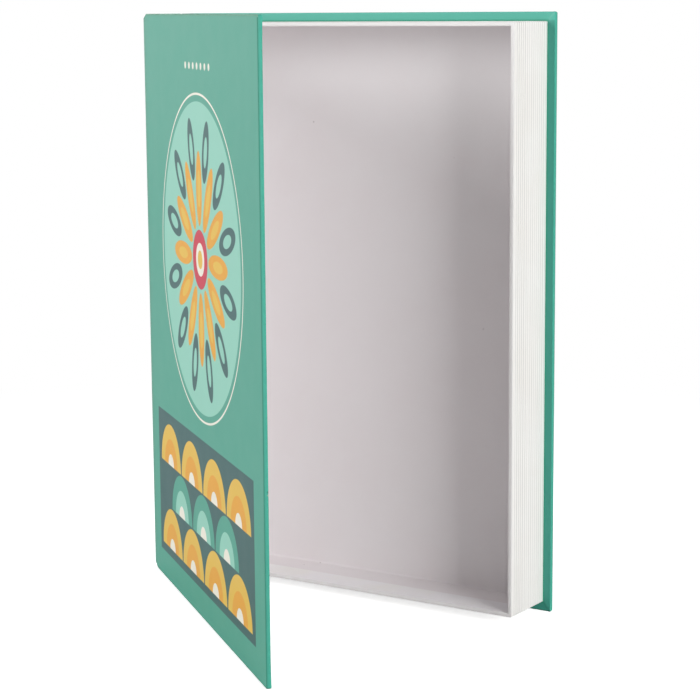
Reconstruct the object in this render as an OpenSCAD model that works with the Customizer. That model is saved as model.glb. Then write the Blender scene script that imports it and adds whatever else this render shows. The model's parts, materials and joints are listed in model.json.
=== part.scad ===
// Book box: a shallow tray glued into a paper-wrapped book case, standing on
// its tail edge with the front cover open. Millimetres, Z up, the spine at
// the low X side, the tray's mouth towards -Y. The origin is the middle of
// the footprint at rest.

/* [Case] */
// Height of the case, tail to head
case_h = 330; // [200:1:420]
// Width of the case, spine to fore-edge
case_w = 250; // [150:1:320]
// Thickness of the three case boards
board_t = 2; // [1.2:0.1:3]
// Thickness of the printed paper wrapped round the boards
wrap_t = 0.2; // [0.15:0.05:0.4]
// Width of the wrap's turn-ins on the inside of the boards
turn_in = 15; // [10:1:20]
// Width of the cut left open along a mitred corner fold
mitre_gap = 0.15; // [0.1:0.05:0.4]
// Radius of the two free corners of each cover
corner_r = 1; // [0.5:0.1:4]
// Radius of the four corners of the spine
spine_r = 4; // [1:0.5:8]
// Bare paper between the hinge line and a cover board
joint_gap = 5; // [4.6:0.1:9]
// How far the bare paper of the joints is drawn in at head and tail
draw_in = 2.5; // [1:0.1:5]
// Border of wrap left showing round the lining inside the front cover
lining_border = 4; // [2:0.5:8]
// Clearance between the tray's rim and the closed cover
cover_gap = 0.3; // [0.3:0.1:1.5]
// How far the front cover stands open, in degrees
open_angle = 39; // [0:1:90]

/* [Tray] */
// Depth of the tray, rim to back
tray_d = 36.4; // [20:0.1:90]
// Overhang of the case round the tray
overhang = 5; // [3:0.1:8]
// Thickness of the tray's wall boards
wall_t = 1.5; // [0.8:0.1:2.5]
// Thickness of the tray's base board
base_t = 1.5; // [1:0.1:3]
// Thickness of the lining papers
liner_t = 0.15; // [0.1:0.05:0.3]
// Outer radius of the tray's two fore-edge corners
tray_r = 0.9; // [0.7:0.1:4]

/* [Page edges] */
// Thickness of the page-edge paper between its ribs
page_t = 0.2; // [0.15:0.05:0.4]
// Height of a rib over the paper
rib_h = 0.2; // [0.1:0.05:0.35]
// Distance from one rib to the next
rib_pitch = 2.3; // [1.5:0.1:5]
// Plain band before the first rib and after the last one
rib_land = 0.7; // [0.4:0.1:3]

/* [Hidden] */

$fn = 48;
WRAP = [0.43, 0.67, 0.59];
BOARD = [0.66, 0.61, 0.54];
PAGE = [0.95, 0.94, 0.92];
LINING = [0.90, 0.89, 0.88];
INFILL = [0.80, 0.74, 0.64];
// overshoot of a cutting solid
cut = 1;
// steps along a bent strip of paper, and across one rib
bend_steps = 14;
rib_steps = 6;

// a wrapped board, and the whole front cover with its lining
case_t = board_t + 2 * wrap_t;
cover_t = case_t + liner_t;
// hinge line: the inner edge of the rim on the tray's spine wall
hinge_x = case_t + wall_t + liner_t;
hinge_y = -cover_gap / 2;
// both covers run from the joint to the fore-edge
cover_w = case_w - hinge_x - joint_gap;
cover_x = hinge_x + joint_gap;
// distance from the hinge line out to the cover's printed face
cover_out = cover_gap / 2 + cover_t;
// the spine board stands between the two joints
spine_inset = 0.5;
spine_w = tray_d - 2 * spine_inset;

// tray: outer faces, then the faces of its boards, then the inside
page_out = page_t + rib_h;
tray_x = case_t;
fore_x = case_w - overhang;
board_x = fore_x - page_out;
board_z = overhang + page_out;
board_h = case_h - 2 * board_z;
board_w = board_x - tray_x;
board_r = tray_r - page_out;
room_x = tray_x + wall_t;
room_w = board_w - 2 * wall_t;
room_z = board_z + wall_t;
room_h = board_h - 2 * wall_t;
// the walls stand on the base and end under the folded rim paper
wall_d = tray_d - base_t - page_t;
rib_count = round((tray_d - 2 * rib_land) / rib_pitch);
rib_step = (tray_d - 2 * rib_land) / rib_count;

// footprint at rest, from the open cover's fore-edge to the back
foot_y = hinge_y - (case_w - hinge_x) * sin(open_angle) - cover_out * cos(open_angle);
back_y = tray_d + case_t;
origin_shift = [-case_w / 2, -(foot_y + back_y) / 2, 0];

// places a solid drawn with the spine at x = 0 and the rim at y = 0
module placed() {
    translate(origin_shift)
        children();
}

// places a solid of the front cover, drawn closed with the hinge line at 0
module opened() {
    placed()
        translate([hinge_x, hinge_y, 0])
            rotate([0, 0, -open_angle])
                children();
}

// outline with two rounded corners at its fore-edge
module board_outline(w, h, r) {
    square([w - r, h]);
    translate([w - 2 * r, r])
        square([2 * r, h - 2 * r]);
    translate([w - r, r])
        circle(r);
    translate([w - r, h - r])
        circle(r);
}

// flat sheet or board in the XZ plane, thickness along +Y
module plate(w, h, t, r) {
    translate([0, t, 0])
        rotate([90, 0, 0])
            linear_extrude(t)
                board_outline(w, h, r);
}

// paper round a cover board: outer face at y = 0, open at the joint side,
// turned in at head, tail and fore-edge with mitred corners
module cover_skin() {
    difference() {
        plate(cover_w, case_h, case_t, corner_r);
        translate([0, wrap_t, wrap_t])
            board_blank(cut);
        translate([-cut, wrap_t + board_t, turn_in])
            cube([cover_w - turn_in + cut, wrap_t + cut, case_h - 2 * turn_in]);
        mitre_cut();
        translate([0, 0, case_h])
            mirror([0, 0, 1])
                mitre_cut();
    }
}

// the board inside that paper; extra lets the cut run out at the joint side
module board_blank(extra) {
    translate([-extra, 0, 0])
        plate(cover_w - wrap_t + extra, case_h - 2 * wrap_t, board_t, corner_r - wrap_t);
}

// seam between two turn-ins, from the corner in at 45 degrees
module mitre_cut() {
    translate([cover_w, wrap_t + board_t, 0])
        rotate([0, -135, 0])
            translate([0, 0, -mitre_gap / 2])
                cube([turn_in * sqrt(2) + cut, wrap_t + cut, mitre_gap]);
}

// sheet that levels the inside of a board between its turn-ins
module cover_infill() {
    translate([0, wrap_t + board_t, turn_in])
        cube([cover_w - turn_in, wrap_t, case_h - 2 * turn_in]);
}

// moves a cover drawn with its outer face at y = 0 to the closed front
module at_front() {
    opened()
        translate([joint_gap, -cover_out, 0])
            children();
}

// the same for the back cover, outer face turned to +Y
module at_back() {
    placed()
        translate([cover_x, back_y, 0])
            mirror([0, 1, 0])
                children();
}

module front_board() {
    color(BOARD)
        at_front()
            translate([0, wrap_t, wrap_t])
                board_blank(0);
}

module front_infill() {
    color(INFILL)
        at_front()
            cover_infill();
}

module front_wrap() {
    color(WRAP)
        at_front()
            cover_skin();
}

module front_liner() {
    color(LINING)
        opened()
            translate([joint_gap, -cover_gap / 2 - liner_t, lining_border])
                cube([cover_w - lining_border, liner_t, case_h - 2 * lining_border]);
}

// point and direction at t on a curve that leaves p0 by a and reaches p3 by b
function bend(p0, a, b, p3, t) =
    pow(1 - t, 3) * p0 + 3 * t * pow(1 - t, 2) * (p0 + a)
    + 3 * t * t * (1 - t) * (p3 - b) + pow(t, 3) * p3;
function bend_dir(p0, a, b, p3, t) =
    pow(1 - t, 2) * a + 2 * t * (1 - t) * (p3 - b - p0 - a) + t * t * b;
function beside(p, d, k) = p + k * [-d[1], d[0]] / norm(d);

// strip of paper of one thickness bent along that curve, standing in Z
module bent_strip(p0, a, b, p3) {
    near = [for (i = [0 : bend_steps])
        beside(bend(p0, a, b, p3, i / bend_steps),
               bend_dir(p0, a, b, p3, i / bend_steps), wrap_t / 2)];
    far = [for (i = [bend_steps : -1 : 0])
        beside(bend(p0, a, b, p3, i / bend_steps),
               bend_dir(p0, a, b, p3, i / bend_steps), -wrap_t / 2)];
    translate([0, 0, draw_in])
        linear_extrude(case_h - 2 * draw_in)
            polygon(concat(near, far));
}

// the wrap across the front joint, from the spine round to the open cover
module front_joint() {
    along = [cos(open_angle), -sin(open_angle)];
    outward = [-sin(open_angle), -cos(open_angle)];
    from = [wrap_t / 2, spine_inset];
    to = [hinge_x, hinge_y] + joint_gap * along + (cover_out - wrap_t / 2) * outward;
    reach = norm(to - from);
    color(WRAP)
        placed()
            bent_strip(from, [0, -reach / 6], along * reach / 2, to);
}

// the lining paper across the joint, on the inside
module hinge_strip() {
    color(LINING)
        opened()
            translate([liner_t, -cover_gap / 2 - liner_t, lining_border])
                cube([joint_gap - liner_t, liner_t, case_h - 2 * lining_border]);
}

// standing plate across the back of the tray with four rounded corners,
// drawn in from the spine's outline by edge, thickness t along +X
module spine_plate(edge, t) {
    w = spine_w - 2 * edge;
    h = case_h - 2 * edge;
    r = spine_r - edge;
    translate([0, spine_inset + edge, edge])
        rotate([90, 0, 90])
            linear_extrude(t) {
                translate([0, r])
                    square([w, h - 2 * r]);
                translate([r, 0])
                    square([w - 2 * r, h]);
                for (x = [r, w - r])
                    for (y = [r, h - r])
                        translate([x, y])
                            circle(r);
            }
}

module spine_board() {
    color(BOARD)
        placed()
            translate([wrap_t, 0, 0])
                spine_plate(wrap_t, board_t);
}

module spine_infill() {
    color(INFILL)
        placed()
            translate([wrap_t + board_t, spine_inset, turn_in])
                cube([wrap_t, spine_w, case_h - 2 * turn_in]);
}

// paper round the spine board, turned in at head and tail
module spine_wrap() {
    color(WRAP)
        placed()
            difference() {
                spine_plate(0, case_t);
                translate([wrap_t, 0, 0])
                    spine_plate(wrap_t, board_t);
                translate([wrap_t + board_t, 0, turn_in])
                    cube([wrap_t + cut, tray_d, case_h - 2 * turn_in]);
            }
}

// the wrap across the back joint, round the tray's back corner
module back_joint() {
    from = [wrap_t / 2, tray_d - spine_inset];
    to = [cover_x, back_y - wrap_t / 2];
    reach = norm(to - from);
    color(WRAP)
        placed()
            bent_strip(from, [0, reach / 6], [reach / 2, 0], to);
}

module back_board() {
    color(BOARD)
        at_back()
            translate([0, wrap_t, wrap_t])
                board_blank(0);
}

module back_infill() {
    color(INFILL)
        at_back()
            cover_infill();
}

module back_wrap() {
    color(WRAP)
        at_back()
            cover_skin();
}

// outline of the tray's boards, taken as a plate from depth y, t deep
module tray_plate(y, t) {
    translate([tray_x, y, board_z])
        plate(board_w, board_h, t, board_r);
}

module tray_base() {
    color(BOARD)
        placed()
            tray_plate(tray_d - base_t, base_t);
}

// side walls run from tail to head, with the head and tail walls between
module fore_wall() {
    color(BOARD)
        placed()
            intersection() {
                tray_plate(page_t, wall_d);
                translate([board_x - wall_t, 0, 0])
                    cube([wall_t + cut, tray_d, case_h]);
            }
}

module spine_wall() {
    color(BOARD)
        placed()
            translate([tray_x, page_t, board_z])
                cube([wall_t, wall_d, board_h]);
}

module tail_wall() {
    color(BOARD)
        placed()
            translate([room_x, page_t, board_z])
                cube([room_w, wall_d, wall_t]);
}

module head_wall() {
    color(BOARD)
        placed()
            translate([room_x, page_t, board_z + board_h - wall_t])
                cube([room_w, wall_d, wall_t]);
}

// section of the ribbed paper, x out from the wall and y down from the rim:
// each rib is half a sine wave
rib_line = [for (i = [0 : rib_count * rib_steps])
    [page_t + rib_h * abs(sin(180 * i / rib_steps)), rib_land + i * rib_step / rib_steps]];
page_section = concat(
    [[0, 0], [page_out, 0], [page_out, rib_land - page_t]],
    rib_line,
    [[page_out, tray_d - rib_land + page_t], [page_out, tray_d], [0, tray_d]]);

// ribbed paper along the head and round its fore-edge corner
module page_head() {
    translate([fore_x - tray_r, 0, board_z + board_h])
        rotate([0, -90, 0])
            linear_extrude(fore_x - tray_r - tray_x)
                polygon(page_section);
    translate([fore_x - tray_r, 0, board_z + board_h - board_r])
        rotate([-90, -90, 0])
            rotate_extrude(angle = 90)
                translate([board_r, 0])
                    polygon(page_section);
}

// one sheet round head, fore-edge and tail, folded in over the rim
module page_edges() {
    color(PAGE)
        placed()
            union() {
                page_head();
                translate([0, 0, case_h])
                    mirror([0, 0, 1])
                        page_head();
                translate([board_x, 0, overhang + tray_r])
                    linear_extrude(case_h - 2 * (overhang + tray_r))
                        polygon(page_section);
                difference() {
                    tray_plate(0, page_t);
                    translate([tray_x - cut, -cut, room_z + liner_t])
                        cube([room_x + room_w - liner_t - tray_x + cut, page_t + 2 * cut,
                              room_h - 2 * liner_t]);
                }
            }
}

// lining of the four walls, folded out over the rim of the spine wall
module wall_liner() {
    color(LINING)
        placed()
            union() {
                difference() {
                    translate([room_x, page_t, room_z])
                        cube([room_w, wall_d, room_h]);
                    translate([room_x + liner_t, 0, room_z + liner_t])
                        cube([room_w - 2 * liner_t, tray_d, room_h - 2 * liner_t]);
                }
                translate([tray_x, 0, room_z + liner_t])
                    cube([wall_t + liner_t, page_t, room_h - 2 * liner_t]);
            }
}

module floor_liner() {
    color(LINING)
        placed()
            translate([room_x + liner_t, tray_d - base_t - liner_t, room_z + liner_t])
                cube([room_w - 2 * liner_t, liner_t, room_h - 2 * liner_t]);
}

front_board();
front_infill();
front_wrap();
front_liner();
front_joint();
hinge_strip();
spine_board();
spine_infill();
spine_wrap();
back_joint();
back_board();
back_infill();
back_wrap();
tray_base();
head_wall();
tail_wall();
fore_wall();
spine_wall();
page_edges();
wall_liner();
floor_liner();
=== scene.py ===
import bpy, bmesh, json, math
import numpy as np
from mathutils import Euler, Matrix, Vector


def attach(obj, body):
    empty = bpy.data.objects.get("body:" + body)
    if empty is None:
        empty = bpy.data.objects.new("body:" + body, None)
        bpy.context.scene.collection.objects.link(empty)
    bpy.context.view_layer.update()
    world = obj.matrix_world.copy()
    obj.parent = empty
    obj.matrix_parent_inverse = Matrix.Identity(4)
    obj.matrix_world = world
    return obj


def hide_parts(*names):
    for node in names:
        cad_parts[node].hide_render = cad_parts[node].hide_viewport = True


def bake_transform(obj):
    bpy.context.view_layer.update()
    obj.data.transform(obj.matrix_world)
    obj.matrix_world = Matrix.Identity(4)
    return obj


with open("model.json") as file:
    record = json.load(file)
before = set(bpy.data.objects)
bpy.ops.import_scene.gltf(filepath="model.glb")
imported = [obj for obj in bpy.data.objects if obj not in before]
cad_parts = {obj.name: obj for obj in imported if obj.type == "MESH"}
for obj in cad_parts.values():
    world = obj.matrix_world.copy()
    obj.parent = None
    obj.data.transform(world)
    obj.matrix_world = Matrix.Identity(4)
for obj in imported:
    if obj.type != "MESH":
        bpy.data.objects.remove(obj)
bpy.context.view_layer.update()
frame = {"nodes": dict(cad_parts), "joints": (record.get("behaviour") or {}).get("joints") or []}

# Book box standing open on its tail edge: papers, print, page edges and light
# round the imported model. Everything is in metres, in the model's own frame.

mm = 0.001


def nodePoints(node):
    # every vertex of a CAD node, one row each
    mesh = frame["nodes"][node].data
    flat = np.empty(len(mesh.vertices) * 3)
    mesh.vertices.foreach_get("co", flat)
    return flat.reshape(-1, 3)


def nodeBox(node):
    points = nodePoints(node)
    return points.min(0), points.max(0)


hinge = frame["joints"][0]
hingeAt = np.array(hinge["pos_m"])
openAngle = math.radians(-hinge["range_deg"][0])   # the closed cover is this far away
along = np.array([math.cos(openAngle), -math.sin(openAngle), 0])     # out along the open cover
outward = np.array([-math.sin(openAngle), -math.cos(openAngle), 0])  # out of its printed face

frontPoints = nodePoints("front_wrap") - hingeAt
backLow, backHigh = nodeBox("back_wrap")
spineLow, spineHigh = nodeBox("spine_wrap")
trayLow, trayHigh = nodeBox("page_edges")
wallLow, wallHigh = nodeBox("wall_liner")
floorLow, floorHigh = nodeBox("floor_liner")

caseHigh = backHigh[2]                          # tail to head
caseThick = backHigh[1] - backLow[1]            # a board with its wrap
coverStart = (frontPoints @ along).min()        # joint side of the cover board
coverEnd = (frontPoints @ along).max()          # its fore-edge
coverFace = (frontPoints @ outward).max()       # printed face, out from the hinge line
coverInside = (frontPoints @ outward).min()     # turned-in paper
boardFace = nodeBox("tray_base")[1]             # outer faces of the tray's boards
overhang = caseHigh - trayHigh[2]               # of the covers past the tray
pageThick = trayHigh[0] - boardFace[0]          # ribbed paper, ribs included
rimThick = trayHigh[0] - floorHigh[0]           # a wall with its papers
print("frame read: case", round(caseHigh / mm), "mm high, cover open",
      round(math.degrees(openAngle)), "degrees")

cameraSpec = {
    "place": (0.64957, -0.91060, 0.33327),
    "turn": 33.13,       # degrees about Z, from looking along +Y
    "down": 9.29,        # degrees below the horizon
    "roll": -0.41,
    "focal": 2099,       # in pixels of the 700 pixel frame
    "frame": 700,
    "sensor": 36.0,
    "clip": (0.05, 50),
}


def newObject(name, data):
    made = bpy.data.objects.new(name, data)
    bpy.context.scene.collection.objects.link(made)
    return made


def makeCamera(spec):
    data = bpy.data.cameras.new("camera")
    data.sensor_width = spec["sensor"]
    data.lens = spec["sensor"] * spec["focal"] / spec["frame"]
    data.clip_start, data.clip_end = spec["clip"]
    camera = newObject("camera", data)
    look = Euler((math.radians(90 - spec["down"]), 0, math.radians(spec["turn"]))).to_matrix()
    look = look @ Matrix.Rotation(math.radians(spec["roll"]), 3, "Z")
    camera.matrix_world = Matrix.Translation(spec["place"]) @ look.to_4x4()
    bpy.context.scene.camera = camera


makeCamera(cameraSpec)
print("camera placed")


class Wire:
    # an output socket of a material; sums on it add Math nodes
    def __init__(self, tree, socket=None):
        self.tree, self.socket = tree, socket

    def add(self, kind, settings=(), inputs=(), output=0):
        # any node: its settings are set first, then its sockets get values or wires
        node = self.tree.nodes.new("ShaderNode" + kind)
        for name, value in dict(settings).items():
            if name == "stops":
                ramp = node.color_ramp.elements
                while len(ramp) < len(value):
                    ramp.new(0.5)
                for stop, (place, colour) in zip(ramp, value):
                    stop.position, stop.color = place, colour
            else:
                setattr(node, name, value)
        for key, value in dict(inputs).items():
            if isinstance(value, Wire):
                value.into(node, key)
            else:
                node.inputs[key].default_value = value
        return Wire(self.tree, node.outputs[output])

    def into(self, node, socket):
        self.tree.links.new(self.socket, node.inputs[socket])

    def math(self, operation, *terms):
        return self.add("Math", {"operation": operation}, enumerate(terms))

    def __add__(self, other):
        return self.math("ADD", self, other)

    def __radd__(self, other):
        return self.math("ADD", other, self)

    def __sub__(self, other):
        return self.math("SUBTRACT", self, other)

    def __rsub__(self, other):
        return self.math("SUBTRACT", other, self)

    def __mul__(self, other):
        return self.math("MULTIPLY", self, other)

    def __rmul__(self, other):
        return self.math("MULTIPLY", other, self)

    def __truediv__(self, other):
        return self.math("DIVIDE", self, other)

    def __rtruediv__(self, other):
        return self.math("DIVIDE", other, self)

    def __neg__(self):
        return self.math("MULTIPLY", self, -1.0)

    def least(self, other):
        return self.math("MINIMUM", self, other)

    def most(self, other):
        return self.math("MAXIMUM", self, other)

    def size(self):
        return self.math("ABSOLUTE", self)

    def root(self):
        return self.math("SQRT", self)

    def over(self, low, high):
        # 0 at low and before, 1 at high and after, smooth between
        return self.add("MapRange", {"interpolation_type": "SMOOTHSTEP"},
                        {0: self, 1: low, 2: high})

    def parts(self):
        # the three numbers of a vector
        return [self.add("SeparateXYZ", (), {0: self}, k) for k in range(3)]

    def noise(self, scale, detail=3.0, rough=0.5):
        # fractal noise, about 0.5 on average, features 1 / scale metres wide
        return self.add("TexNoise", {"noise_dimensions": "3D"},
                        {"Vector": self, "Scale": scale, "Detail": detail, "Roughness": rough})

    def blend(self, first, second):
        # one colour to another by this mask
        return self.add("Mix", {"data_type": "RGBA"}, {0: self, 6: first, 7: second}, 2)

    def stretched(self, x, y, z):
        return self.add("Mapping", (), {"Vector": self, "Scale": (x, y, z)})


def colour(red, green, blue):
    # a colour as a paint program writes it, made linear
    def linear(c):
        c /= 255
        return c / 12.92 if c <= 0.04045 else ((c + 0.055) / 1.055) ** 2.4
    return (linear(red), linear(green), linear(blue), 1.0)


def newMaterial(name):
    # an empty material with its Principled shader; returns it and a first wire
    material = bpy.data.materials.new(name)
    material.use_nodes = True
    return material, Wire(material.node_tree)


def finishMaterial(material, start, base, rough, height, spec):
    # base and rough may vary; height goes through a Bump node, the grain deep in metres
    shader = material.node_tree.nodes["Principled BSDF"]
    shader.inputs["Specular IOR Level"].default_value = spec["specular"]
    bump = start.add("Bump", (), {"Height": height, "Distance": spec["grain"], "Strength": 1.0})
    for socket, value in (("Base Color", base), ("Roughness", rough), ("Normal", bump)):
        value.into(shader, socket)
    return material


wrapSpec = {
    "green": colour(54, 151, 133),
    "faded": colour(56, 152, 135),       # cloudier areas of the sheet
    "pressed": colour(34, 116, 94),      # painted shade on the sharp outer bend round a board's edge, and in the nick
    "rubbedAndLit": colour(68, 177, 153),      # painted highlight and a little wear on the edge and its inner bend
    "litAtHead": colour(74, 178, 158),    # painted light and sheen on the paper turned in at the head
    "deep": colour(22, 146, 116),        # painted shade on the turned-in paper right beside the tray
    "worn": colour(144, 178, 156),       # painted highlight and wear along the head's outer bend; pale wear under the nick
    "jointShade": colour(92, 138, 120),     # painted shade along the joint
    "tailDark": colour(48, 92, 82),        # darker along the tail edge
    "tray": (overhang - 1.3 * mm, overhang - 0.3 * mm),
    "trayShading": 0.8,                   # strengths of the painted shade beside the tray and at the outer bend
    "bendShading": 0.65,
    # least strength of each painted tone or wear at its place, and what the patch noise adds to it
    "headWearAndLight": (0.45, 0.30),
    "jointShading": (0.15, 0.40),
    "tailDarkening": (0.45, 0.25),
    "bendWearAndLight": (0.45, 0.50),
    "headEdge": (1.6 * mm, 1.0 * mm),    # from the head: none, full
    "tailEdge": (1.0 * mm, 0.3 * mm),
    "clouds": (9, 4),                    # noise: features per metre and detail
    "patchScale": (420, 5, 0.7),
    "nickTones": [(0.0, "pressed", 1.0), (1.5, "worn", 0.9)],    # shift in nicks, tone, strength
    "nickSoft": (1.2, 0.5),
    "rough": 0.46,
    "edgeRough": 0.34,                   # added where the paper is bent
    "specular": 0.5,
    "grain": 0.00002,
    "grainLayers": ((2600, 2, 0.6), (700, 2, 0.4)),
}

printSpec = {
    "mint": colour(145, 205, 187),
    "teal": colour(48, 90, 90),
    "gold": colour(227, 186, 74),
    "amber": colour(229, 163, 48),
    "cream": colour(240, 235, 222),
    "coral": colour(198, 48, 72),
    "ground": colour(75, 158, 138),      # the green printed on the front, painted paler than the turn-ins' green as painted sheen
    "disc": (0.1285, 0.2005),            # middle of the large disc, from spine and tail
    "discSize": 0.084,
    "ring": (0.0040, 0.0006),            # of the thin ring: distance from the disc, half width
    "petals": 12,
    # inner and outer petals: nearest and farthest point, half width, ink, inner ink,
    # and how far they're turned, in petals
    "flower": [(0.043, 0.077, 0.0068, "teal", "mint", 0.5),
               (0.018, 0.058, 0.0062, "amber", "gold", 0.0)],
    "petalHeart": 0.5,                   # size of a petal's inner ink
    "rings": [(0.0160, "coral"), (0.0090, "cream"), (0.0050, "gold")],
    "fans": 4,                           # in the lowest row
    "fanRows": 3,
    "fanFoot": 0.021,                    # foot of the lowest row, from the tail
    "fanSteps": (0.96, 0.62, 0.27),      # sizes of a fan's three inks, beside its width
    "fanInks": (("gold", "amber", "cream"), ("ground", "mint", "cream")),   # row by row
    "band": 0.005,                       # dark border of the fans' field
    "margin": (0.024, 0.024),            # bare border at spine and fore-edge
    "dots": 7,
    "dotSize": 0.0019,
    "dotStep": 0.0085,
    "dotFoot": 0.303,
    "edge": 0.00012,                     # softness of a printed edge
}
depthStretch = 3     # onSheet's z is this many times the depth
evenFolds = 10       # keeps a folded length positive and its pattern in place
roughVary = 0.1      # how cloudy every finish's roughness is


def unevenRough(place, spec, scale, detail=2):
    # the finish's roughness, a little cloudy
    return spec["rough"] + (place.noise(scale, detail) - 0.5) * roughVary


def grainHeight(place, spec):
    # two layers of noise, each with its scale, detail and share
    fine, coarse = [place.noise(scale, detail) * share
                    for scale, detail, share in spec["grainLayers"]]
    return fine + coarse


def printedPaper(name, sheetWide, bends, printed=False):
    # Coated paper, read on the flat sheet: x along it from the spine, y up from the
    # tail, z the stretched depth behind its face. The crease attribute is 1 on the
    # outer bend round a board's edge (painted shade) and -1 on the inner one (painted
    # highlight). Bends are the places along the sheet at a joint, with painted shade.
    material, start = newMaterial(name)
    spec = wrapSpec
    sheet = start.add("Attribute", {"attribute_name": "onSheet"}, (), 1)
    crease = start.add("Attribute", {"attribute_name": "crease"}, (), 2)
    x, y, behind = sheet.parts()
    patchNoise = sheet.noise(*spec["patchScale"]).over(0.3, 0.62)

    def patchy(wear):
        return wear[0] + wear[1] * patchNoise

    base = sheet.noise(*spec["clouds"]).over(0.3, 0.75).blend(spec["green"], spec["faded"])
    if printed:
        # the printed face's ground: print green made paler by painted sheen
        base = behind.over(0.6 * mm, 0.1 * mm).blend(base, printSpec["ground"])
        base = addPrint(sheet, base, sheetWide)
    fromEdge = (caseHigh - y).least(y).least(sheetWide - x)
    turnedIn = behind.over(2 * caseThick, 2.8 * caseThick)
    atHead = (caseHigh - y).over(overhang, overhang - 1 * mm)
    # painted light on the paper turned in at the head
    base = (atHead * turnedIn).blend(base, spec["litAtHead"])
    # painted shade on the turned-in paper right beside the tray
    beside = fromEdge.over(*spec["tray"]) * turnedIn * spec["trayShading"]
    base = beside.blend(base, spec["deep"])
    # painted shade on the outer bend, where the crease is above 0
    base = (crease.most(0.0) * spec["bendShading"]).blend(base, spec["pressed"])
    # painted highlight, patchy like wear, along the head's outer bend
    head = (caseHigh - y).over(*spec["headEdge"]) * crease.most(0.0)
    base = (head * patchy(spec["headWearAndLight"])).blend(base, spec["worn"])
    # painted shade along each joint, made patchy
    for bend, half in bends:
        near = (x - bend).size().over(half, half * 0.3) * behind.over(3 * mm, 1 * mm)
        base = (near * patchy(spec["jointShading"])).blend(base, spec["jointShade"])
    # darker along the tail edge, made patchy
    tail = y.over(*spec["tailEdge"])
    base = (tail * patchy(spec["tailDarkening"])).blend(base, spec["tailDark"])
    # painted highlight, patchy like wear, on the inner bend where the crease is below 0
    rubbedAndLit = (-crease).most(0.0) * patchy(spec["bendWearAndLight"])
    base = rubbedAndLit.blend(base, spec["rubbedAndLit"])
    if printed:
        # a short nick in the inner arris of the open edge, darkened with painted shade, paler
        # underneath
        at, half, _ = caseSpec["nick"]
        side = ((behind / depthStretch - caseThick) / half).size() + (sheetWide - x) / half
        for shift, tone, strength in spec["nickTones"]:
            mark = (((y - at) / half + shift).size() + side).over(*spec["nickSoft"])
            base = (mark * strength).blend(base, spec[tone])
    rough = unevenRough(sheet, spec, 60, 3) + crease.size() * spec["edgeRough"]
    return finishMaterial(material, start, base, rough, grainHeight(sheet, spec), spec)


def addPrint(sheet, base, sheetWide):
    # The printed design, made of distances in metres: below 0 is inside a shape.
    spec = printSpec
    x, y, _ = sheet.parts()

    def inked(distance, under, ink):
        return distance.over(spec["edge"], -spec["edge"]).blend(under, spec[ink])

    def length(a, b):
        return (a * a + b * b).root()

    # a large disc with a thin ring round it
    dx, dy = x - spec["disc"][0], y - spec["disc"][1]
    away = length(dx, dy)
    base = inked(away - spec["discSize"], base, "mint")
    ringGap, ringHalf = spec["ring"]
    base = inked((away - spec["discSize"] - ringGap).size() - ringHalf, base, "cream")

    # petals: the angle is folded into half a sector, and each petal is an ellipse
    sector = 2 * math.pi / spec["petals"]
    angle = sheet.math("ARCTAN2", dy, dx)
    for near, far, wide, ink, inner, turn in spec["flower"]:
        folded = sheet.math("PINGPONG", angle + sector * (turn + spec["petals"]), sector / 2)
        side = away * sheet.math("SINE", folded)
        out = away * sheet.math("COSINE", folded)
        oval = length((out - (near + far) / 2) / ((far - near) / 2), side / wide)
        base = inked((oval - 1) * wide, base, ink)
        base = inked((oval - spec["petalHeart"]) * wide, base, inner)
    for size, ink in spec["rings"]:
        base = inked(away - size, base, ink)

    # Rows of fans, half discs side by side; every other row is set over by half a
    # fan and is one fan shorter.
    left, right = spec["margin"][0], sheetWide - spec["margin"][1]
    fanWide = (right - left) / 2 / spec["fans"]          # half its foot
    rowsHigh = spec["fanRows"] * fanWide
    beside = (x - (left + right) / 2).size() - (right - left) / 2
    above = (y - spec["fanFoot"] - rowsHigh / 2).size() - rowsHigh / 2
    base = inked(beside.most(above) - spec["band"], base, "teal")
    for row in range(spec["fanRows"] - 1, -1, -1):
        foot = spec["fanFoot"] + row * fanWide
        shift = fanWide * (row % 2)
        folded = sheet.math("PINGPONG", x - left + shift + evenFolds * fanWide, fanWide)
        fromMiddle = length(fanWide - folded, y - foot)
        outside = (left + shift - x).most(x - right + shift).most(foot - y)
        for share, ink in zip(spec["fanSteps"], spec["fanInks"][row % 2]):
            base = inked((fromMiddle - fanWide * share).most(outside), base, ink)

    # a short row of dots near the head
    step = spec["dotStep"]
    run = spec["dots"] * step / 2
    gap = sheet.math("PINGPONG", dx + run + evenFolds * step, step / 2)
    dot = length(step / 2 - gap, y - spec["dotFoot"]) - spec["dotSize"]
    return inked(dot.most(dx.size() - run), base, "cream")


pageSpec = {
    "paper": colour(247, 246, 243),
    "shade": colour(178, 176, 172),      # in the grooves
    "warm": colour(245, 243, 239),
    "rim": colour(240, 238, 237),        # painted shade on the fold over the tray's rim
    "inner": colour(249, 248, 250),      # turned in, painted a little whiter as painted light
    "shading": 0.8,                      # strength of the shade in a groove
    "rimDeep": (0.35 * mm, 0.05 * mm),   # the rim's painted shade: none, full
    "rough": 0.62,
    "specular": 0.35,
    "grain": 0.00003,
    "grainLayers": ((1900, 3, 0.7), (300, 2, 0.3)),
}


def pagePaper(name, paper, warm):
    # white paper; the groove attribute is 1 at the bottom of a groove
    material, start = newMaterial(name)
    spec = pageSpec
    place = start.add("TexCoord", (), (), 3)
    groove = start.add("Attribute", {"attribute_name": "groove"}, (), 2)
    tone = place.noise(35, 4).over(0.35, 0.75)
    base = tone.blend(spec[paper], spec[warm])
    fromRim = place.parts()[1] - trayLow[1]
    # painted shade over the fold at the rim
    base = fromRim.over(*spec["rimDeep"]).blend(base, spec["rim"])
    base = (groove * spec["shading"]).blend(base, spec["shade"])
    rough = unevenRough(place, spec, 90)
    return finishMaterial(material, start, base, rough, grainHeight(place, spec), spec)


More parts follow.
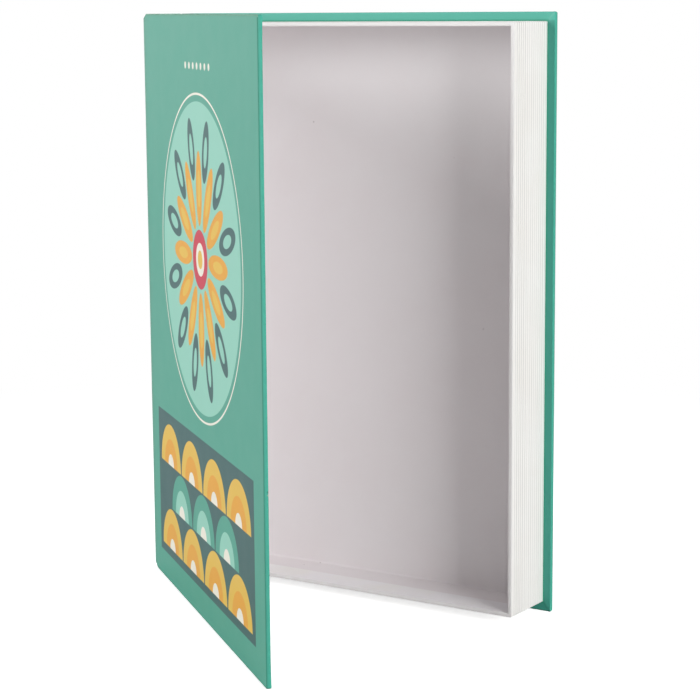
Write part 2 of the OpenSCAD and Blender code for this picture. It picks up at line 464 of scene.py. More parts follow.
liningSpec = {
    "paper": colour(240, 236, 237),
    "cloud": colour(239, 234, 235),
    "speck": colour(176, 168, 168),
    "speckScale": 55.0,                  # cells per metre, of which few hold a speck
    "speckSize": (0.045, 0.02),          # in cells, to its soft edge and its core
    "speckDark": 0.5,
    "rough": 0.6,
    "specular": 0.35,
    "grain": 0.00004,
    "grainLayers": ((1500, 3, 0.6), (120, 3, 0.4)),
}


def liningPaper():
    # smooth lining with faint clouds and a few specks of fibre
    material, start = newMaterial("liningPaper")
    spec = liningSpec
    place = start.add("TexCoord", (), (), 3)
    base = place.noise(26, 5, 0.6).over(0.35, 0.72).blend(spec["paper"], spec["cloud"])
    near = place.add("TexVoronoi", {"feature": "F1"},
                     {"Vector": place, "Scale": spec["speckScale"]})
    chance = place.noise(31, 1).over(0.60, 0.66)
    specks = near.over(*spec["speckSize"]) * chance * spec["speckDark"]
    base = specks.blend(base, spec["speck"])
    rough = unevenRough(place, spec, 70)
    return finishMaterial(material, start, base, rough, grainHeight(place, spec), spec)


boardSpec = {
    "grey": colour(168, 156, 138),
    "dark": colour(140, 128, 112),
    "fleck": colour(205, 196, 180),
    "fleckShare": 0.6,
    "rough": 0.85,
    "specular": 0.3,
    "grain": 0.00012,
}


def greyboard(name, tint=1.0):
    # pressed fibre board, cloudy with lighter flecks
    material, start = newMaterial(name)
    spec = boardSpec
    place = start.add("TexCoord", (), (), 3)
    grey, dark, fleck = [tuple(min(1, c * tint) for c in spec[tone][:3]) + (1,)
                         for tone in ("grey", "dark", "fleck")]
    base = place.noise(160, 5, 0.65).over(0.35, 0.7).blend(grey, dark)
    flecks = place.stretched(1, 1, 0.35).noise(1400, 3, 0.6).over(0.6, 0.72)
    base = (flecks * spec["fleckShare"]).blend(base, fleck)
    height = place.noise(900, 4, 0.65) + flecks * 0.3
    return finishMaterial(material, start, base, unevenRough(place, spec, 400), height, spec)


pageMaterial = pagePaper("pagePaper", "paper", "warm")
# the turn-in's paper painted whiter than the page paper, as painted light
turnInMaterial = pagePaper("turnInPaper", "inner", "paper")
liningMaterial = liningPaper()
boardMaterial = greyboard("greyboard")
infillMaterial = greyboard("kraft", 1.3)
print("materials made")

weldGap = 1e-6       # points nearer than this are one
tiny = 1e-7          # in metres, no length at all


def gridFaces(rows, columns, first=0, closed=False):
    # quads of a grid of points, row by row; closed joins the last row to the first
    down = np.arange(rows if closed else rows - 1)[:, None]
    across = np.arange(columns - 1)[None, :]
    nextRow = (down + 1) % rows
    quads = np.stack([down * columns + across, down * columns + across + 1,
                      nextRow * columns + across + 1, nextRow * columns + across], -1)
    return quads.reshape(-1, 4) + first


def makePiece(name, grids, material, facing, thick=0.0, smooth=42, attributes=()):
    # grids: list of (points, closed, {attribute: values}). Welds them into one
    # surface, turns it to face its given way and gives it a thickness inwards.
    # facing is a point and a direction: the surface nearest it looks that way.
    points, quads, values = [], [], {key: [] for key in attributes}
    first = 0
    for grid, closed, extra in grids:
        rows, columns = grid.shape[:2]
        points.append(grid.reshape(-1, 3))
        quads.append(gridFaces(rows, columns, first, closed))
        for key in attributes:
            values[key].append(extra[key].reshape(rows * columns, -1))
        first += rows * columns
    points, quads = np.concatenate(points), np.concatenate(quads)
    mesh = bpy.data.meshes.new(name)
    mesh.vertices.add(len(points))
    mesh.vertices.foreach_set("co", points.ravel())
    mesh.loops.add(quads.size)
    mesh.loops.foreach_set("vertex_index", quads.ravel())
    mesh.polygons.add(len(quads))
    mesh.polygons.foreach_set("loop_start", np.arange(len(quads)) * 4)
    mesh.update(calc_edges=True)
    for key in attributes:
        data = np.concatenate(values[key])
        vector = data.shape[1] == 3
        layer = mesh.attributes.new(key, "FLOAT_VECTOR" if vector else "FLOAT", "POINT")
        layer.data.foreach_set("vector" if vector else "value", data.ravel().astype(np.float32))
    work = bmesh.new()
    work.from_mesh(mesh)
    bmesh.ops.remove_doubles(work, verts=work.verts, dist=weldGap)
    bmesh.ops.dissolve_degenerate(work, edges=work.edges, dist=tiny)
    bmesh.ops.recalc_face_normals(work, faces=work.faces)
    at, way = Vector(facing[0]), Vector(facing[1])
    nearest = min(work.faces, key=lambda face: (face.calc_center_median() - at).length)
    if nearest.normal.dot(way) < 0:
        bmesh.ops.reverse_faces(work, faces=work.faces)
    work.to_mesh(mesh)
    work.free()
    piece = newObject(name, mesh)
    mesh.materials.append(material)
    if thick:
        solid = piece.modifiers.new("thickness", "SOLIDIFY")
        solid.thickness, solid.offset = thick, -1
        solid.use_even_offset = False
        graph = bpy.context.evaluated_depsgraph_get()
        finished = bpy.data.meshes.new_from_object(piece.evaluated_get(graph))
        piece.modifiers.clear()
        piece.data = finished
    piece.data.shade_smooth()
    piece.data.set_sharp_from_angle(angle=math.radians(smooth))
    return piece


def smoothStep(value, low, high):
    # 0 at low, 1 at high, smooth between
    t = np.clip((value - low) / (high - low), 0, 1)
    return t * t * (3 - 2 * t)


leastMark = 0.02 * mm                # marks keep this far apart
nearCorner = (0.2 * mm, 0.5 * mm)    # extra ones beside a corner


def marks(start, end, insets, spacing, fine=()):
    # ascending marks from start to end: one every spacing, with extra ones at the
    # given distances from both ends and dense runs (from, to, spacing)
    count = max(2, int(round((end - start) / spacing)) + 1)
    found = list(np.linspace(start, end, count))
    found += [start + inset for inset in insets] + [end - inset for inset in insets]
    for low, high, step in fine:
        found += list(np.arange(low, high, step))
    found = np.unique(np.round([v for v in found if start <= v <= end], 8))
    return found[np.append(True, np.diff(found) > leastMark)]


def borderColumns(uMarks, zMarks, uEnd, high, low, radius, closed=False, arcSteps=6):
    # The border of an upright sheet seen flat: along the head, round the free corner,
    # down the fore-edge, round and back along the tail; closed adds the spine side.
    # Each column has an outline point (u, z), the way out, and the room inwards
    # before it meets the 45 degree line of the corner.
    zHigh, zLow = high[-1], low[-1]
    uStart = uMarks[0] - radius
    turn = np.linspace(0, math.pi / 2, arcSteps + 1)[1:-1]

    def arc(cu, cz, first):
        a = first - turn
        return (cu + radius * np.cos(a), cz + radius * np.sin(a), np.cos(a), np.sin(a),
                np.full(len(a), radius))

    def straight(u, z, outU, outZ, room):
        one = np.ones(max(np.size(u), np.size(z)))
        return u * one, z * one, outU * one, outZ * one, room * one

    uRoom = np.minimum(uEnd - uMarks, uMarks - uStart) if closed else uEnd - uMarks
    zRoom = np.minimum(zHigh - zMarks, zMarks - zLow)
    runs = [straight(uMarks, high, 0, 1, uRoom),
            arc(uEnd - radius, zHigh - radius, math.pi / 2),
            straight(uEnd, zMarks[::-1], 1, 0, zRoom[::-1]),
            arc(uEnd - radius, zLow + radius, 0),
            straight(uMarks[::-1], low[::-1], 0, -1, uRoom[::-1])]
    if closed:
        runs += [arc(uStart + radius, zLow + radius, -math.pi / 2),
                 straight(uStart, zMarks, -1, 0, zRoom),
                 arc(uStart + radius, zHigh - radius, math.pi)]
    return [np.concatenate(values) for values in zip(*runs)]


def sweepBorder(columns, out, deep):
    # carries a section along the border: out is the distance out of the outline,
    # deep the distance in behind the face; returns u, z and depth of each point
    u, z, outU, outZ, room = columns
    out = np.maximum(out, -room[:, None])
    deep = deep + np.zeros_like(out)
    return u[:, None] + outU[:, None] * out, z[:, None] + outZ[:, None] * out, deep


caseSpec = {
    "paper": 0.20 * mm,
    "edgeRound": 0.42 * mm,      # the paper's bend over a board's edge
    "cornerRound": 1.0 * mm,
    # points across the face, in from the outline; the flat face starts at the first
    "faceMarks": np.array([3.0, 2.2, 1.5, 1.0, 0.7]) * mm,
    # creases over the section: face, outer bend, board's edge, inner bend
    "faceCrease": (0, 0, 0, 0.15, 0.45),
    "outerCrease": (0.7, 0.9, 1, 0.6, 0),
    "edgeCrease": -0.8,
    "innerCrease": (-1, -1, -1, -0.5, -0.1),
    "turnIn": 15.0 * mm,
    "jointThick": 0.75 * mm,     # folded paper across a joint
    "boardStep": 0.5 * mm,       # length of the step from there up to a board
    "jointDip": 2.4 * mm,        # how far it sinks at head and tail
    "dipStart": 1.5 * mm,        # full depth up to there from the spine
    "backDip": 0.1 * mm,         # the same round the tray's back corner
    "spineRound": 4.0 * mm,
    "foldHigh": 0.30 * mm,       # the fore-edge's turn-in lies over the head's and tail's
    "foldFade": 7.0 * mm,
    "foldEnd": (3.0 * mm, 4.6 * mm),     # it's pressed flat under the lining and the tray
    "foldSoft": 0.25 * mm,
    "collar": (0.14 * mm, 1.6 * mm),     # the fold doubled round a corner: height, length
    "nick": (99.9 * mm, 1.1 * mm, 0.15 * mm),  # in the open edge: height, half length, depth
    "nickMesh": (1.6 * mm, 0.25 * mm),   # fine mesh round it: half length, spacing
    "mesh": (7 * mm, 8 * mm),            # widest spacing along the sheet and up it
    "edgeMesh": (1 * mm, 16 * mm, 0.5 * mm),   # finer under the mitres: from, to, spacing
    "bendMesh": 0.45 * mm,
    "stepMesh": 0.1 * mm,
}


def bezier(p0, leave, reach, p3, count):
    # cubic curve that leaves p0 by one vector and reaches p3 by the other
    t = np.linspace(0, 1, count)[:, None]
    p1, p2 = p0 + leave, p3 - reach
    return (1 - t) ** 3 * p0 + 3 * t * (1 - t) ** 2 * p1 + 3 * t * t * (1 - t) * p2 + t ** 3 * p3


class Plan:
    # a sheet's path seen from above: length along it to place and inward normal
    def __init__(self, points, inward):
        points = np.asarray(points)[:, :2]
        keep = np.linalg.norm(np.diff(points, axis=0), axis=1) > tiny
        points = points[np.append(True, keep)]
        self.points = points
        step = np.linalg.norm(np.diff(points, axis=0), axis=1)
        self.length = np.append(0, np.cumsum(step))
        way = np.gradient(points, self.length, axis=0)
        way /= np.linalg.norm(way, axis=1)[:, None]
        self.normal = inward * np.stack([-way[:, 1], way[:, 0]], -1)

    def at(self, u, z, deep):
        # places (u, z, depth) in the frame
        x, y, nx, ny = [np.interp(u, self.length, column) for column in
                        (*self.points.T, *self.normal.T)]
        return np.stack([x + nx * deep, y + ny * deep, z], -1)


def wrapSection(thick, spec):
    # Across the border of a wrapped board: in on the face, round the board's edge
    # and in again behind it, for a column of thicknesses. Returns the way out of
    # the outline, the depth and the crease attribute.
    t = thick[:, None]
    r = np.minimum(spec["edgeRound"], t * 0.45)       # two bends fit in thin paper
    a = np.linspace(0, math.pi / 2, 5)[None, :]
    one = np.ones_like(t)
    face = -spec["faceMarks"][None, :]
    behind = -spec["turnIn"] * np.linspace(0.23, 1, 15)[None, :] ** 2
    out = np.hstack([face * one, -r + r * np.sin(a), 0 * one, -r + r * np.cos(a), behind * one])
    deep = np.hstack([0 * face * one, r - r * np.cos(a), t / 2, t - r + r * np.sin(a),
                      t + 0 * behind])
    crease = np.hstack([spec["faceCrease"], spec["outerCrease"], spec["edgeCrease"],
                        spec["innerCrease"], 0 * behind[0]])
    return out, deep, crease[None, :] * one


def wrapSheet(name, plan, uMarks, thickAt, dipAt, facing, material, spec, nicked=False):
    # one sheet of paper round its boards: a flat face, and a border carried round
    # head, fore-edge and tail with mitred corners
    uEnd = plan.length[-1]
    inset, corner = spec["faceMarks"][0], spec["cornerRound"]
    at, half, depth = spec["nick"]
    around, fine = spec["nickMesh"]
    zMarks = marks(corner, caseHigh - corner, (inset - corner,), spec["mesh"][1],
                   (spec["edgeMesh"], (at - around, at + around, fine)))
    zMarks = np.unique(np.round(np.append(zMarks, caseHigh - zMarks), 7))   # both ends alike
    dip = dipAt(uMarks)
    high, low = caseHigh - dip, dip
    columns = borderColumns(uMarks, zMarks, uEnd, high, low, corner)
    edgeU, edgeZ, outU = columns[:3]
    out, deep, crease = wrapSection(thickAt(edgeU), spec)
    # only the fore-edge's inner bend gets the painted highlight and wear, not the head's and tail's
    crease = np.where(crease < 0, crease * np.maximum(outU, 0)[:, None], crease)
    # the doubled paper at a free corner makes it a little larger
    behind = np.clip(deep / caseThick, 0, 1) ** 2
    fromCorner = np.maximum(uEnd - edgeU, np.minimum(edgeZ, caseHigh - edgeZ))
    collarHigh, collarLong = spec["collar"]
    collar = 1 - smoothStep(fromCorner, collarLong - 0.3 * mm, collarLong + 0.3 * mm)
    out = out + collarHigh * collar[:, None] * behind
    if nicked:
        dent = (1 - smoothStep(abs(edgeZ - at), 0, half)) * (abs(outU - 1) < weldGap)
        out = out - depth * dent[:, None] * smoothStep(deep, caseThick / 3, caseThick)
    u, z, deep = sweepBorder(columns, out, deep)
    # along the mitre one turn-in lies over the other
    fromHead, fromFore = np.minimum(z, caseHigh - z), uEnd - u
    side = fromHead - fromFore
    fold = smoothStep(side, -spec["foldSoft"], spec["foldSoft"])
    fold = fold * np.exp(-np.maximum(side, 0) / spec["foldFade"])
    fold = fold * (1 - smoothStep(np.minimum(fromHead, fromFore), *spec["foldEnd"]))
    thick = thickAt(edgeU)[:, None]
    deep = deep + spec["foldHigh"] * fold * smoothStep(deep, thick - 0.3 * mm, thick)
    border = (plan.at(u, z, deep), False,
              {"onSheet": np.stack([u, z, deep * depthStretch], -1), "crease": crease})
    across = uMarks[uMarks < uEnd - inset + tiny]
    rows = zMarks[(zMarks > inset - tiny) & (zMarks < caseHigh - inset + tiny)]
    share = (rows - inset) / (caseHigh - 2 * inset)
    dip = dipAt(across)[:, None]
    fz = dip + inset + share[None, :] * (caseHigh - 2 * dip - 2 * inset)
    fu = across[:, None] + 0 * fz
    face = (plan.at(fu, fz, 0 * fu), False,
            {"onSheet": np.stack([fu, fz, 0 * fu], -1), "crease": 0 * fu})
    return makePiece(name, [border, face], material, facing, spec["paper"],
                     attributes=("onSheet", "crease"))


# front sheet: from the spine's front edge across the joint and the open cover
jointFrom = np.array([spineLow[0], spineLow[1], 0])
jointTo = hingeAt + coverStart * along + coverFace * outward
span = np.linalg.norm(jointTo - jointFrom)
bend = bezier(jointFrom, np.array([0, -span / 6, 0]), along * span / 2, jointTo, 60)
coverLine = jointTo + along * np.linspace(0, coverEnd - coverStart, 20)[:, None]
frontPlan = Plan(np.concatenate([bend, coverLine]), 1)
frontLong = frontPlan.length[-1]
jointWide = frontLong - (coverEnd - coverStart)


def frontThick(u):
    # thin across the joint, a full board from its edge on
    board = smoothStep(u, jointWide - caseSpec["boardStep"], jointWide)
    return caseSpec["jointThick"] + (caseThick - caseSpec["jointThick"]) * board


def frontDip(u):
    # the bare paper sinks towards the spine
    return caseSpec["jointDip"] * (1 - smoothStep(u, caseSpec["dipStart"], jointWide))


def sheetMarks(long, boardAt, *fine):
    # marks along a sheet, finer at a board's step and under the fore-edge's turn-in
    spec = caseSpec
    low, high, step = spec["edgeMesh"]
    runs = fine + ((boardAt - spec["boardStep"], boardAt + spec["stepMesh"], spec["stepMesh"]),
                   (long - high, long - low, step))
    found = marks(0, long - spec["cornerRound"], (), spec["mesh"][0], runs)
    return np.unique(np.append(found, long - spec["faceMarks"][0]))


uMarks = sheetMarks(frontLong, jointWide, (0, jointWide + 2 * mm, caseSpec["bendMesh"]))
coverMiddle = hingeAt + 0.1 * along + np.array([0, 0, caseHigh / 2])
frontSheet = wrapSheet("frontSheet", frontPlan, uMarks, frontThick, frontDip,
                       (coverMiddle + coverFace * outward, outward),
                       printedPaper("frontPaper", frontLong, [(jointWide / 2, 3 * mm)],
                                    printed=True), caseSpec, nicked=True)
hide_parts("front_wrap", "front_joint")
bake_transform(frontSheet)
print("front sheet made,", len(frontSheet.data.polygons), "faces")

# back sheet: round the spine, the back joint and the back cover
spineTo = np.array([spineLow[0], spineHigh[1], 0])
backFrom = np.array([backLow[0], backHigh[1], 0])
span = np.linalg.norm(backFrom - spineTo)
bend = bezier(spineTo, np.array([0, span / 6, 0]), np.array([span / 2, 0, 0]), backFrom, 40)
spineLine = jointFrom + (spineTo - jointFrom) * np.linspace(0, 1, 30)[:, None]
backLine = backFrom + np.array([1, 0, 0]) * np.linspace(0, backHigh[0] - backLow[0], 20)[:, None]
backPlan = Plan(np.concatenate([spineLine, bend, backLine]), -1)
spineLong = spineHigh[1] - spineLow[1]
backLong = backPlan.length[-1]
backJoint = backLong - (backHigh[0] - backLow[0])       # where the back board starts


def backThick(u):
    # the spine's board, the bare joint, the back board
    spine = 1 - smoothStep(u, spineLong, spineLong + caseSpec["boardStep"])
    board = smoothStep(u, backJoint - caseSpec["boardStep"], backJoint)
    return caseSpec["jointThick"] + (caseThick - caseSpec["jointThick"]) * np.maximum(spine, board)


def backDip(u):
    # rounded corners of the spine, then the joint's sinking paper
    r = caseSpec["spineRound"]
    fromEnd = np.clip(np.minimum(u, spineLong - u), 0, r)
    rounded = r - np.sqrt(np.maximum(0, r * r - (r - fromEnd) ** 2))
    joint = 1 - smoothStep(u, spineLong + caseSpec["dipStart"], backJoint)
    near = smoothStep(u, spineLong - 0.4 * mm, spineLong + 0.4 * mm)
    return rounded * (1 - near) + caseSpec["backDip"] * joint * near


uMarks = sheetMarks(backLong, backJoint, (0, 5 * mm, 0.4 * mm),
                    (spineLong - 5 * mm, backJoint + 2 * mm, 0.4 * mm),
                    (spineLong, spineLong + 0.6 * mm, caseSpec["stepMesh"]))
backSheet = wrapSheet("backSheet", backPlan, uMarks, backThick, backDip,
                      ((0, backHigh[1], caseHigh / 2), (0, 1, 0)),
                      printedPaper("backPaper", backLong, [(0, 1.5 * mm), (spineLong, 1.5 * mm)]),
                      caseSpec)
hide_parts("spine_wrap", "back_joint", "back_wrap")
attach(backSheet, "box")
print("back sheet made,", len(backSheet.data.polygons), "faces")

pageShape = {
    "ribs": 15,
    "ribPoints": 8,
    "spacing": 12 * mm,          # widest in the mesh, along the sheet
    "seed": 7,
    "land": 0.8 * mm,            # plain band at the rim
    "groove": 0.26 * mm,         # depth of a groove
    "rimRound": 0.35 * mm,
    "paper": 0.2 * mm,
    "boardRound": 0.4 * mm,      # the wall boards' corner, inside the paper's
    "uneven": 0.09,              # of a rib's width
    "sharpRibs": 5,              # the ones next to the rim are pressed full depth
    "otherRibs": (0.6, 0.85),    # shares of that depth of the other ones
    "crest": 0.6,                # below 1 the ribs get flatter tops
    "innerRound": 0.15 * mm,
    # greyness round the rim's outer bend, then at rimMarks, in on its flat
    "rimShade": (0.0, 0.3, 0.35, 0.1, 0.0, 0.0, 0.0),
    "rimMarks": (0.5 * mm, 0.85 * mm),
    "firstGroove": 0.25,         # depth of the one at the rim, beside the others
    "turnIn": 17.0 * mm,         # of the same paper, stuck over the lining of the walls
    "turnThick": 0.11 * mm,
}


def pageSection(spec):
    # Closed section of the sheet: up the ribs to the rim, over it, and back behind.
    # A rib is half a sine wave to the power of crest; its ends wander a little.
    deep = trayHigh[1] - trayLow[1]
    rng = np.random.default_rng(spec["seed"])
    edges = np.linspace(spec["land"], deep - spec["land"], spec["ribs"] + 1)
    pitch = edges[1] - edges[0]
    edges[1:-1] += pitch * spec["uneven"] * rng.uniform(-1, 1, spec["ribs"] - 1)
    t = np.linspace(0, 1, spec["ribPoints"] + 1)[:-1]
    y = (edges[:-1, None] + np.diff(edges)[:, None] * t[None, :]).ravel()
    y = np.append(y, edges[-1])
    wave = np.abs(np.sin(np.pi * np.append(np.tile(t, spec["ribs"]), 1.0))) ** spec["crest"]
    pressed = rng.uniform(*spec["otherRibs"], spec["ribs"] + 1)
    pressed[:spec["sharpRibs"]] = 1.0
    pressed[0] = spec["firstGroove"]
    low = np.append(np.repeat(pressed[:-1], spec["ribPoints"]), pressed[-1]) * (1 - wave)
    out = pageThick - spec["groove"] * low
    r = spec["rimRound"]
    a = np.linspace(0, math.pi / 2, 5)
    outer = [np.append(pageThick, out[::-1]), np.append(deep, y[::-1])]
    shade = np.append(0, low[::-1])
    rim = [np.append(pageThick - r + r * np.cos(a), pageThick - r - np.array(spec["rimMarks"])),
           np.append(r - r * np.sin(a), [0, 0])]
    inside = pageThick - rimThick - spec["turnThick"]
    small = spec["innerRound"]
    inner = [inside + small - small * np.sin(a), small - small * np.cos(a)]
    back = [np.array([inside, inside + 2 * small, 0, 0]), np.array([spec["paper"]] * 3 + [deep])]
    parts = [outer, rim, inner, back]
    e = np.concatenate([part[0] for part in parts] + [outer[0][:1]])
    d = np.concatenate([part[1] for part in parts] + [outer[1][:1]])
    groove = np.concatenate([shade, spec["rimShade"]])
    groove = np.append(groove, np.zeros(len(e) - len(groove)))
    return e, d, groove


def makePageEdges(spec):
    e, d, groove = pageSection(spec)
    uEnd = boardFace[0] - trayLow[0]
    zHigh, zLow = trayHigh[2] - pageThick, trayLow[2] + pageThick
    radius = spec["boardRound"]
    near = nearCorner + (0.9 * mm, -e.min() - radius)
    us = marks(0, uEnd - radius, near, spec["spacing"])
    zs = marks(zLow + radius, zHigh - radius, near, spec["spacing"])
    columns = borderColumns(us, zs, uEnd, zHigh + 0 * us, zLow + 0 * us, radius, arcSteps=7)
    u, z, deep = sweepBorder(columns, e[None, :], d[None, :])
    points = np.stack([trayLow[0] + u, trayLow[1] + deep, z], -1)
    shade = groove[None, :] + 0 * u
    piece = makePiece("pageEdges", [(points, False, {"groove": shade})], pageMaterial,
                      ((trayHigh[0], 0, caseHigh / 2), (1, 0, 0)),
                      attributes=("groove",), smooth=35)
    closeEnds(piece)
    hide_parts("page_edges")
    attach(piece, "box")
    return piece


def closeEnds(piece):
    # fills the open ends of a tube-like piece
    work = bmesh.new()
    work.from_mesh(piece.data)
    openEdges = [edge for edge in work.edges if edge.is_boundary]
    bmesh.ops.holes_fill(work, edges=openEdges)
    bmesh.ops.triangulate(work, faces=[face for face in work.faces if len(face.verts) > 4])
    bmesh.ops.recalc_face_normals(work, faces=work.faces)
    work.to_mesh(piece.data)
    work.free()


pageEdges = makePageEdges(pageShape)
print("page edges made,", len(pageEdges.data.polygons), "faces")

liningShape = {
    "paper": 0.15 * mm,
    "fillet": 0.9 * mm,          # the paper doesn't reach into the tray's corners
    "corner": 0.9 * mm,
    "rimRound": 0.09 * mm,       # of the strip folded over the spine wall's rim
    "spacing": 10 * mm,
}
spineSide = floorLow[0] - liningShape["paper"]         # inner face of the spine wall board


def roomColumns(spec, near, closed):
    # the border of the tray's room, on the inner faces of its wall boards
    zLow, zHigh = wallLow[2], wallHigh[2]
    uEnd = floorHigh[0] + spec["paper"] - spineSide
    radius = spec["corner"]
    us = marks(radius, uEnd - radius, near, spec["spacing"])
    zs = marks(zLow + radius, zHigh - radius, near, spec["spacing"])
    return us, zs, borderColumns(us, zs, uEnd, zHigh + 0 * us, zLow + 0 * us, radius, closed)


def makeTrayLining(spec):
    # Down the walls from the folded rim, round a fillet and over the floor.
    rim = pageShape["paper"]
    floor = floorLow[1] - trayLow[1]
    r = spec["fillet"]
    a = np.linspace(0, math.pi / 2, 7)
    e = -spec["paper"] - np.concatenate([np.zeros(6), r - r * np.cos(a)])
    d = np.concatenate([np.linspace(rim, floor - r, 7)[:-1], floor - r + r * np.sin(a)])
    inset = max(r + spec["paper"], spec["corner"])
    us, zs, columns = roomColumns(spec, (inset - spec["corner"],) + nearCorner, True)
    u, z, deep = sweepBorder(columns, e[None, :], d[None, :])
    walls = (np.stack([spineSide + u, trayLow[1] + deep, z], -1), True, {})
    fu, fz = us[:, None], zs[None, :]
    floorGrid = (np.stack([spineSide + fu + 0 * fz, trayLow[1] + floor + 0 * (fu + fz),
                           fz + 0 * fu], -1), False, {})
    return makePiece("trayLining", [walls, floorGrid], liningMaterial,
                     ((0, floorLow[1], caseHigh / 2), (0, -1, 0)), spec["paper"])


def makeSpineRim(spec):
    # the strip of lining folded over the rim of the spine wall: a flat section with
    # rounded edges, carried from tail to head
    low, high = trayLow[0], floorLow[0]
    r, thick = spec["rimRound"], pageShape["paper"]
    a = np.linspace(0, math.pi / 2, 4)
    x = np.concatenate([low + r - r * np.cos(a), high - r + r * np.sin(a), [high, low, low]])
    y = np.concatenate([r - r * np.sin(a), r - r * np.cos(a), [thick, thick, r]])
    z = np.linspace(floorLow[2], floorHigh[2], 12)[:, None]
    points = np.stack([x[None, :] + 0 * z, trayLow[1] + y[None, :] + 0 * z, z + 0 * x[None, :]], -1)
    piece = makePiece("spineRim", [(points, False, {})], liningMaterial,
                      ((low, trayLow[1], caseHigh / 2), (0, -1, 0)))
    closeEnds(piece)
    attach(piece, "box")
    return piece


def makePageTurnIn(spec):
    # The page paper's turn-in just inside the rim: a flat strip carried round head,
    # fore-edge and tail over the lining.
    _, _, columns = roomColumns(liningShape, nearCorner, False)
    d = np.linspace(pageShape["paper"], spec["turnIn"], 4)[None, :]
    e = 0 * d - liningShape["paper"] - spec["turnThick"]
    u, z, deep = sweepBorder(columns, e, d)
    points = np.stack([spineSide + u, trayLow[1] + deep, z], -1)
    piece = makePiece("pageTurnIn", [(points, False, {})], turnInMaterial,
                      ((0, trayLow[1], floorHigh[2]), (0, 0, -1)), spec["turnThick"] * 0.95)
    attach(piece, "box")
    return piece


trayLining = makeTrayLining(liningShape)
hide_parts("wall_liner", "floor_liner")
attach(trayLining, "box")
pageTurnIn = makePageTurnIn(pageShape)
spineRim = makeSpineRim(liningShape)
print("tray lining made,", len(trayLining.data.polygons), "faces")

coverLiningShape = {
    "paper": 0.15 * mm,
    "border": 4.0 * mm,
    "sink": 1.65 * mm,           # pressed down between the spine and the cover board
    "sinkFrom": (0.2 * mm, 2.4 * mm),    # from the rim: level, full depth
    "riseTo": (-1.0 * mm, 0.1 * mm),     # from the board's edge: full depth, level
    "fine": 1.5 * mm,            # the finer mesh ends this far on to the board
    "points": (34, 24, 60),      # across the joint, across the board, up
}


def makeCoverLining(spec):
    # From the rim, down into the joint, up on to the board and across the cover.
    joint, board, up = spec["points"]
    fineEnd = coverStart + spec["fine"]
    u = np.concatenate([np.linspace(0.1 * mm, fineEnd, joint),
                        np.linspace(fineEnd, coverEnd - spec["border"], board)[1:]])
    riseFrom, riseTo = spec["riseTo"]
    groove = smoothStep(u, *spec["sinkFrom"])
    groove = groove * (1 - smoothStep(u, coverStart + riseFrom, coverStart + riseTo))
    # visible face, one paper in from the turned-in wrap
    level = coverInside - spec["paper"] + spec["sink"] * groove
    line = hingeAt + u[:, None] * along + level[:, None] * outward
    z = np.linspace(spec["border"], caseHigh - spec["border"], up)
    points = line[:, None, :] + np.array([0, 0, 1.0]) * z[None, :, None]
    piece = makePiece("coverLining", [(points, False, {})], liningMaterial,
                      (coverMiddle, -outward), spec["paper"])
    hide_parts("front_liner", "hinge_strip")
    hingeAt + coverStart * along
    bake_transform(piece)
    return piece


coverLining = makeCoverLining(coverLiningShape)
print("cover lining made,", len(coverLining.data.polygons), "faces")

# boards and infills keep their CAD shape under the papers
for node, part in frame["nodes"].items():
    if not part.hide_render:
        part.data.materials.clear()
        part.data.materials.append(infillMaterial if "infill" in node else boardMaterial)
print("boards dressed")

stageSpec = {
    "floor": 6.0,
    "white": 0.90,
    "rough": 0.9,
    "specular": 0.1,
    "glow": 0.72,                # added to the floor for the camera only
    "fade": (0.22, 0.75),        # from here to there it turns into the white background
    "world": 0.03,
}

lampSpec = [
    # name, degrees to the right of the front, degrees up, metres away, size, watts
    ("rightLamp", 70, 14, 3.6, 1.62, 96),
    ("leftLamp", -41, 18, 4.0, 2.5, 84),
    ("lowLamp", -41, 10, 4.0, 2.5, 26),
    ("sideLamp", -70, 3, 2.4, 0.5, 6.5),
    ("topLamp", 50, 55, 2.0, 0.70, 1.5),
    ("backLamp", 195, 35, 2.4, 1.10, 24),
]
lampAim = 0.17


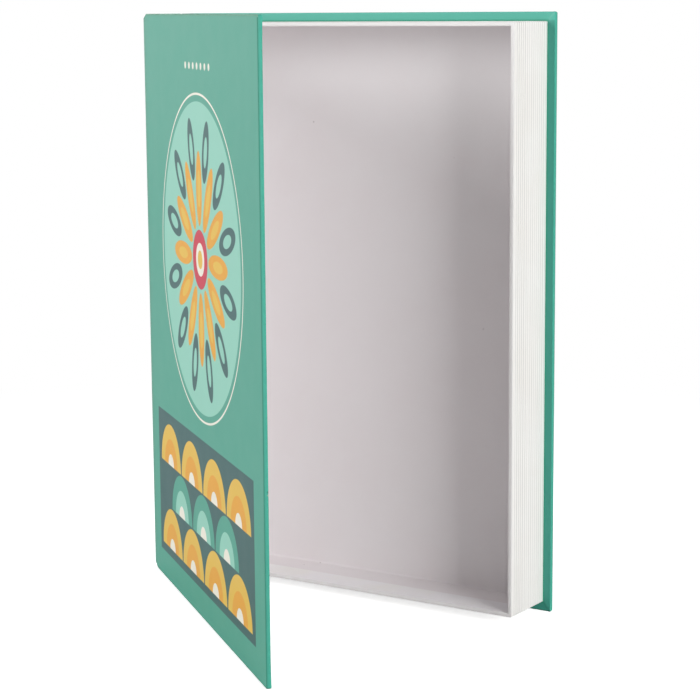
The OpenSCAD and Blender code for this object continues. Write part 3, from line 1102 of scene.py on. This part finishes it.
def makeStage(spec):
    half = spec["floor"] / 2
    mesh = bpy.data.meshes.new("floor")
    mesh.from_pydata([(-half, -half, 0), (half, -half, 0), (half, half, 0), (-half, half, 0)],
                     [], [(0, 1, 2, 3)])
    floor = newObject("floor", mesh)
    material, start = newMaterial("floor")
    shader = material.node_tree.nodes["Principled BSDF"]
    for socket, value in (("Base Color", (spec["white"],) * 3 + (1,)),
                          ("Roughness", spec["rough"]), ("Specular IOR Level", spec["specular"])):
        shader.inputs[socket].default_value = value
    seen = start.add("LightPath", (), (), 0)
    paint = Wire(material.node_tree, shader.outputs[0])
    glow = start.add("Emission", (), {"Strength": spec["glow"]})
    near = start.add("AddShader", (), {0: paint, 1: glow})
    x, y, _ = start.add("TexCoord", (), (), 3).parts()
    far = (x * x + y * y).root().over(*spec["fade"])
    white = start.add("Emission", (), {"Strength": 1.0})
    both = start.add("MixShader", (), {0: far, 1: near, 2: white})
    shown = start.add("MixShader", (), {0: seen, 1: paint, 2: both})
    shown.into(material.node_tree.nodes["Material Output"], "Surface")
    mesh.materials.append(material)

    world = bpy.data.worlds.new("world")
    bpy.context.scene.world = world
    world.use_nodes = True
    sky = Wire(world.node_tree)
    background = world.node_tree.nodes["Background"]
    path = sky.add("LightPath", (), (), 0)
    mirror = sky.add("LightPath", (), (), 3)
    strength = spec["world"] + (1 - spec["world"]) * (path + mirror).least(1.0)
    strength.into(background, "Strength")
    background.inputs["Color"].default_value = (1, 1, 1, 1)


def makeLamp(name, turn, rise, away, size, watts):
    turn, rise = math.radians(turn), math.radians(rise)
    way = Vector((math.sin(turn) * math.cos(rise), -math.cos(turn) * math.cos(rise),
                  math.sin(rise)))
    data = bpy.data.lights.new(name, "AREA")
    data.shape, data.size, data.energy = "SQUARE", size, watts
    lamp = newObject(name, data)
    lamp.location = way * away + Vector((0, 0, lampAim))
    lamp.rotation_euler = way.to_track_quat("Z", "Y").to_euler()


makeStage(stageSpec)
for lamp in lampSpec:
    makeLamp(*lamp)
bpy.context.scene.view_settings.view_transform = "Standard"
print("stage and lamps placed")
